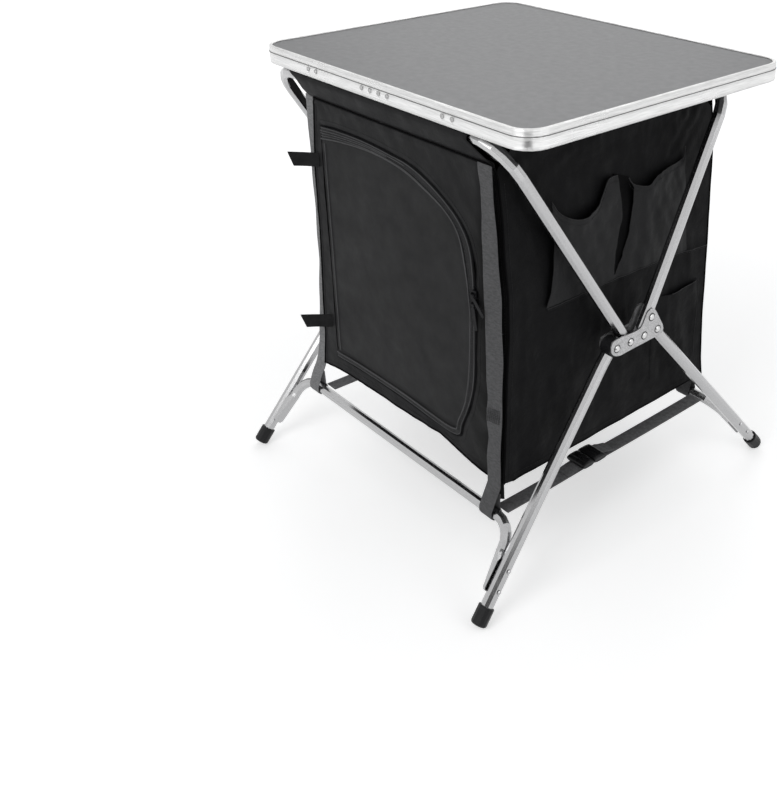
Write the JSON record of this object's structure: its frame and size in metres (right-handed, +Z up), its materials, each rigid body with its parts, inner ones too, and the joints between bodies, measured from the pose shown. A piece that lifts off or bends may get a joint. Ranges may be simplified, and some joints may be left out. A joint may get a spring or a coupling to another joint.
{
  "type": "camping cupboard",
  "caption": "Folding camp cupboard: lift-off tray table top on two crossed tube frames, with a zipped cloth cabinet slung between them.",
  "frame": {"origin": "centre of the overall box, at floor level", "axes": "+X to the right seen from the front, +Y to the rear, +Z up; the door faces -Y"},
  "size_m": [0.6336, 0.6371, 0.6998],
  "materials": {
    "board": "matte grey laminate on fibreboard",
    "rim": "brushed extrusion",
    "clip_steel": "zinc plated strip",
    "tube": "satin drawn tube",
    "plate": "zinc plated pressed plate",
    "rivet": "domed rivet",
    "fitting_plastic": "black moulded",
    "buckle_plastic": "black moulded",
    "zip_metal": "black coated",
    "webbing": "grey woven webbing",
    "tab_webbing": "black woven webbing",
    "cloth": "black coated polyester"
  },
  "bodies": {
    "cabinet": {"rear_panel": "cloth", "side_panel_left": "cloth", "side_panel_right": "cloth", "bottom_panel": "cloth", "shelf_panel": "cloth", "side_pockets": "cloth", "strap_rear_left": "webbing", "strap_rear_right": "webbing", "cross_strap_front_left": "webbing", "cross_strap_front_right": "webbing", "cross_strap_rear_left": "webbing", "cross_strap_rear_right": "webbing"},
    "tabletop": {"tabletop_panel": "board", "tabletop_rim": "rim", "hook_front_left": "clip_steel", "hook_front_middle": "clip_steel", "hook_front_right": "clip_steel", "clip_rear_left": "clip_steel", "clip_rear_right": "clip_steel"},
    "rear_tube": {"upper_tube_rear": "tube", "joint_plates_left": "plate", "joint_plates_right": "plate", "rivet_leg_front_left": "rivet", "rivet_leg_front_right": "rivet", "rivet_leg_rear_left": "rivet", "rivet_leg_rear_right": "rivet", "rivet_tube_front_left": "rivet", "rivet_tube_front_right": "rivet"},
    "front_tube": {"upper_tube_front": "tube", "knuckle_tube_front_left": "fitting_plastic", "knuckle_tube_front_right": "fitting_plastic"},
    "front_legs": {"leg_front_left": "tube", "leg_front_right": "tube", "low_rail_front": "tube", "foot_front_left": "fitting_plastic", "foot_front_right": "fitting_plastic", "knuckle_leg_front_left": "fitting_plastic", "knuckle_leg_front_right": "fitting_plastic"},
    "rear_legs": {"leg_rear_left": "tube", "leg_rear_right": "tube", "low_rail_rear": "tube", "foot_rear_left": "fitting_plastic", "foot_rear_right": "fitting_plastic", "knuckle_leg_rear_left": "fitting_plastic", "knuckle_leg_rear_right": "fitting_plastic"},
    "front_wall": {"front_panel": "cloth", "strap_front_left": "webbing", "strap_front_right": "webbing", "tie_tab_upper": "tab_webbing", "tie_tab_lower": "tab_webbing"},
    "door": {"door_flap": "cloth"},
    "upper_slider": {"zip_slider_upper": "zip_metal"},
    "lower_slider": {"zip_slider_lower": "zip_metal"},
    "upper_pull": {"zip_pull_upper": "zip_metal"},
    "lower_pull": {"zip_pull_lower": "zip_metal"},
    "socket_right": {"buckle_socket_right": "buckle_plastic"},
    "socket_left": {"buckle_socket_left": "buckle_plastic"},
    "plug_right": {"buckle_plug_right": "buckle_plastic"},
    "plug_left": {"buckle_plug_left": "buckle_plastic"}
  },
  "joints": [
    {"name": "front_leg_fold", "type": "hinge", "parent": "rear_tube", "child": "front_legs", "pos_m": [-0.0119, -0.0458, 0.3282], "axis": [1, 0, 0], "range_deg": [-171.47, 0], "deforming": ["side_panel_left", "side_panel_right", "bottom_panel", "shelf_panel", "side_pockets", "strap_rear_left", "strap_rear_right", "cross_strap_front_left", "cross_strap_front_right", "cross_strap_rear_left", "cross_strap_rear_right", "strap_front_left", "strap_front_right", "tie_tab_upper", "tie_tab_lower"]},
    {"name": "frame_swing", "type": "hinge", "parent": "cabinet", "child": "rear_tube", "pos_m": [-0.0119, 0.2118, 0.6631], "axis": [1, 0, 0], "range_deg": [0, 30.96]},
    {"name": "front_tube_fold", "type": "hinge", "parent": "rear_tube", "child": "front_tube", "pos_m": [-0.0119, -0.0176, 0.3282], "axis": [1, 0, 0], "range_deg": [-63.67, 0]},
    {"name": "rear_leg_fold", "type": "hinge", "parent": "rear_tube", "child": "rear_legs", "pos_m": [-0.0119, 0.0398, 0.3282], "axis": [1, 0, 0], "range_deg": [0, 103.96]},
    {"name": "front_wall_swing", "type": "hinge", "parent": "front_tube", "child": "front_wall", "pos_m": [-0.0119, -0.2327, 0.6631], "axis": [1, 0, 0], "range_deg": [0, 32.73]},
    {"name": "tabletop_lift", "type": "slide", "parent": "cabinet", "child": "tabletop", "axis": [0, 0, 1], "range_m": [0, 0.2]},
    {"name": "door_open", "type": "hinge", "parent": "front_wall", "child": "door", "pos_m": [-0.1599, -0.234, 0.4], "axis": [0, 0, -1], "range_deg": [0, 110]},
    {"name": "upper_slider_run", "type": "slide", "parent": "front_wall", "child": "upper_slider", "axis": [0, 0, 1], "range_m": [0, 0.04]},
    {"name": "lower_slider_run", "type": "slide", "parent": "front_wall", "child": "lower_slider", "axis": [0, 0, -1], "range_m": [0, 0.11]},
    {"name": "upper_pull_swing", "type": "hinge", "parent": "upper_slider", "child": "upper_pull", "pos_m": [0.1981, -0.239, 0.449], "axis": [-1, 0, 0], "range_deg": [0, 75]},
    {"name": "lower_pull_swing", "type": "hinge", "parent": "lower_slider", "child": "lower_pull", "pos_m": [0.1981, -0.239, 0.435], "axis": [-1, 0, 0], "range_deg": [0, 75]},
    {"name": "right_buckle_travel", "type": "slide", "parent": "cabinet", "child": "socket_right", "axis": [0, 1, 0], "range_m": [0, 0.2438]},
    {"name": "left_buckle_travel", "type": "slide", "parent": "cabinet", "child": "socket_left", "axis": [0, 1, 0], "range_m": [0, 0.2438]},
    {"name": "right_buckle_release", "type": "slide", "parent": "socket_right", "child": "plug_right", "axis": [0, 1, 0], "range_m": [0, 0.018]},
    {"name": "left_buckle_release", "type": "slide", "parent": "socket_left", "child": "plug_left", "axis": [0, 1, 0], "range_m": [0, 0.018]}
  ],
  "couplings": [
    {"joint": "frame_swing", "follows": "front_leg_fold", "ratio": -0.18047},
    {"joint": "front_tube_fold", "follows": "front_leg_fold", "ratio": 0.37124},
    {"joint": "rear_leg_fold", "follows": "front_leg_fold", "ratio": -0.60617},
    {"joint": "front_wall_swing", "follows": "front_leg_fold", "ratio": -0.19077},
    {"joint": "right_buckle_travel", "follows": "front_leg_fold", "m_per_rad": -0.081397},
    {"joint": "left_buckle_travel", "follows": "front_leg_fold", "m_per_rad": -0.081397}
  ]
}
